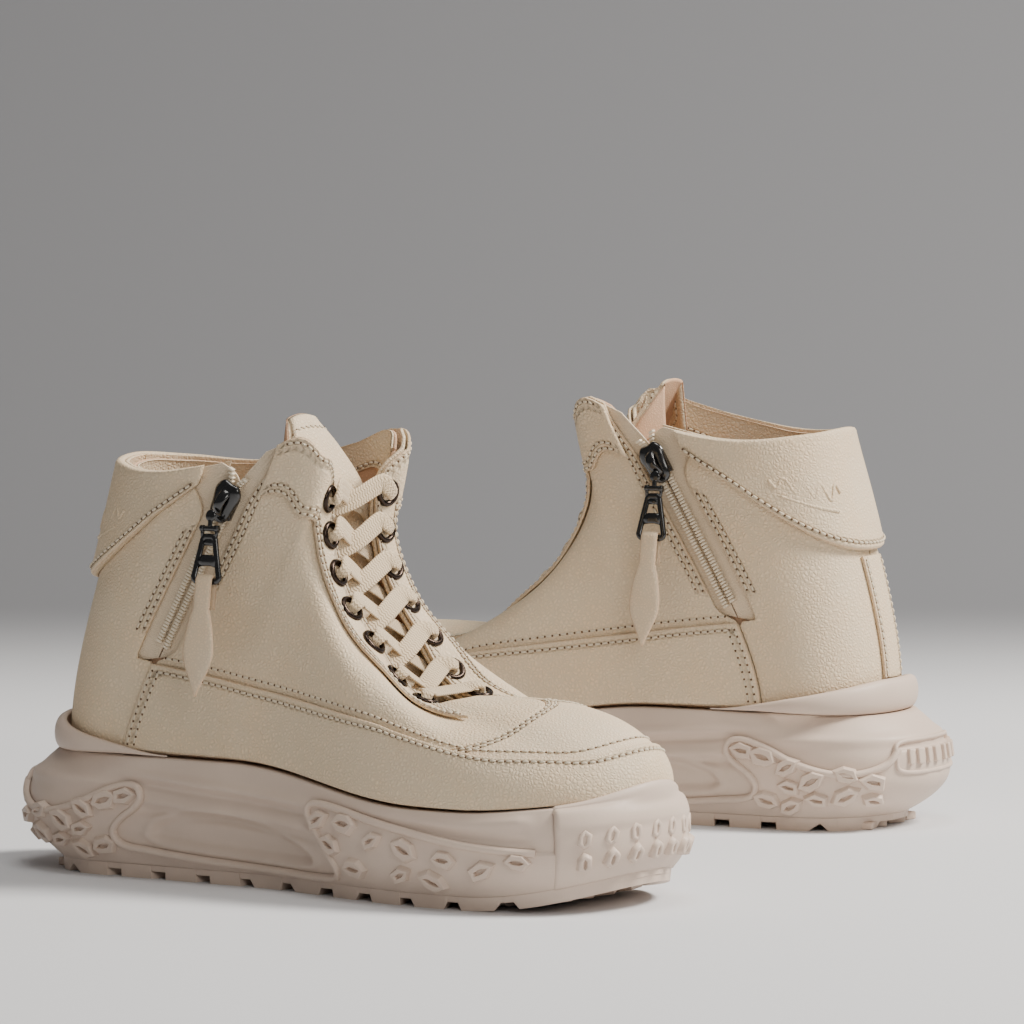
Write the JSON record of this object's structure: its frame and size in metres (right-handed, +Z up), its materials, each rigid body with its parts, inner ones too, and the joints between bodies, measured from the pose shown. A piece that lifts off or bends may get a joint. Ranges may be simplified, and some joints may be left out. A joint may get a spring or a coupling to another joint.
{
  "type": "pair of lace-up platform boots",
  "caption": "Pair of padded-collar high-top platform boots with flat laces through eyelets, a side zip with a hinged pull, and thick moulded rubber soles.",
  "frame": {"origin": "on the floor under the middle of the bounding box of the pair", "axes": "+Z up; +X from the heel to the toe of the left boot; +Y from the left boot to the right boot"},
  "size_m": [0.3241, 0.359, 0.1708],
  "materials": {
    "sole": "matte moulded rubber",
    "board": "pressed fibre board",
    "lining": "soft brushed lining",
    "stiffener": "thermoplastic sheet",
    "upper": "fine pebbled synthetic leather",
    "eyelet": "dark bronze plated",
    "lace": "flat woven cord",
    "aglet": "clear-coated wrap",
    "tape": "woven tape",
    "teeth": "moulded teeth",
    "zip_metal": "gloss black"
  },
  "bodies": {
    "left_boot": {"left_outsole": "sole", "left_midsole": "sole", "left_heel_wall": "sole", "left_forefoot_wall": "sole", "left_toe_bumper": "sole", "left_heel_clip": "sole", "left_insole_board": "board", "left_footbed": "lining", "left_lining": "lining", "left_toe_puff": "stiffener", "left_heel_counter": "stiffener", "left_vamp": "upper", "left_rand": "upper", "left_quarter_medial": "upper", "left_quarter_rear": "upper", "left_quarter_lateral": "upper", "left_eyestay_medial": "upper", "left_eyestay_lateral": "upper", "left_tongue": "upper", "left_back_strip": "upper", "left_cuff": "upper", "left_eyelets": "eyelet", "left_lace": "lace", "left_aglets": "aglet", "left_zip_tape": "tape", "left_zip_teeth": "teeth"},
    "left_slider": {"left_zip_slider": "zip_metal"},
    "left_swivel": {"left_zip_swivel": "zip_metal"},
    "left_pull": {"left_zip_pull": "zip_metal"},
    "left_tab": {"left_zip_tab": "upper"},
    "right_boot": {"right_outsole": "sole", "right_midsole": "sole", "right_heel_wall": "sole", "right_forefoot_wall": "sole", "right_toe_bumper": "sole", "right_heel_clip": "sole", "right_insole_board": "board", "right_footbed": "lining", "right_lining": "lining", "right_toe_puff": "stiffener", "right_heel_counter": "stiffener", "right_vamp": "upper", "right_rand": "upper", "right_quarter_medial": "upper", "right_quarter_rear": "upper", "right_quarter_lateral": "upper", "right_eyestay_medial": "upper", "right_eyestay_lateral": "upper", "right_tongue": "upper", "right_back_strip": "upper", "right_cuff": "upper", "right_eyelets": "eyelet", "right_lace": "lace", "right_aglets": "aglet", "right_zip_tape": "tape", "right_zip_teeth": "teeth"},
    "right_slider": {"right_zip_slider": "zip_metal"},
    "right_swivel": {"right_zip_swivel": "zip_metal"},
    "right_pull": {"right_zip_pull": "zip_metal"},
    "right_tab": {"right_zip_tab": "upper"}
  },
  "joints": [
    {"name": "right_boot_lift", "type": "slide", "parent": "left_boot", "child": "right_boot", "axis": [0, 0, 1], "range_m": [0, 0.3]},
    {"name": "left_slider_slide", "type": "slide", "parent": "left_boot", "child": "left_slider", "axis": [-0.4874, 0.0187, -0.873], "range_m": [0, 0.0532]},
    {"name": "left_swivel_turn", "type": "hinge", "parent": "left_slider", "child": "left_swivel", "pos_m": [-0.01179, -0.16219, 0.1355], "axis": [0.0473, -0.9891, 0.1392], "range_deg": [-60, 60]},
    {"name": "left_pull_swing", "type": "hinge", "parent": "left_swivel", "child": "left_pull", "pos_m": [-0.0117, -0.16408, 0.13072], "axis": [-0.9989, -0.0477, 0], "range_deg": [0, 110]},
    {"name": "left_tab_swing", "type": "hinge", "parent": "left_pull", "child": "left_tab", "pos_m": [-0.01158, -0.16672, 0.11191], "axis": [-0.9989, -0.0477, 0], "range_deg": [0, 70]},
    {"name": "right_slider_slide", "type": "slide", "parent": "right_boot", "child": "right_slider", "axis": [0.48, 0.0863, -0.873], "range_m": [0, 0.0532]},
    {"name": "right_swivel_turn", "type": "hinge", "parent": "right_slider", "child": "right_swivel", "pos_m": [0.01623, 0.09028, 0.1355], "axis": [-0.0909, 0.9861, -0.1392], "range_deg": [-60, 60]},
    {"name": "right_pull_swing", "type": "hinge", "parent": "right_swivel", "child": "right_pull", "pos_m": [0.01641, 0.08841, 0.13072], "axis": [-0.9958, -0.0918, 0], "range_deg": [0, 110]},
    {"name": "right_tab_swing", "type": "hinge", "parent": "right_pull", "child": "right_tab", "pos_m": [0.01665, 0.08577, 0.11191], "axis": [-0.9958, -0.0918, 0], "range_deg": [0, 70]}
  ]
}
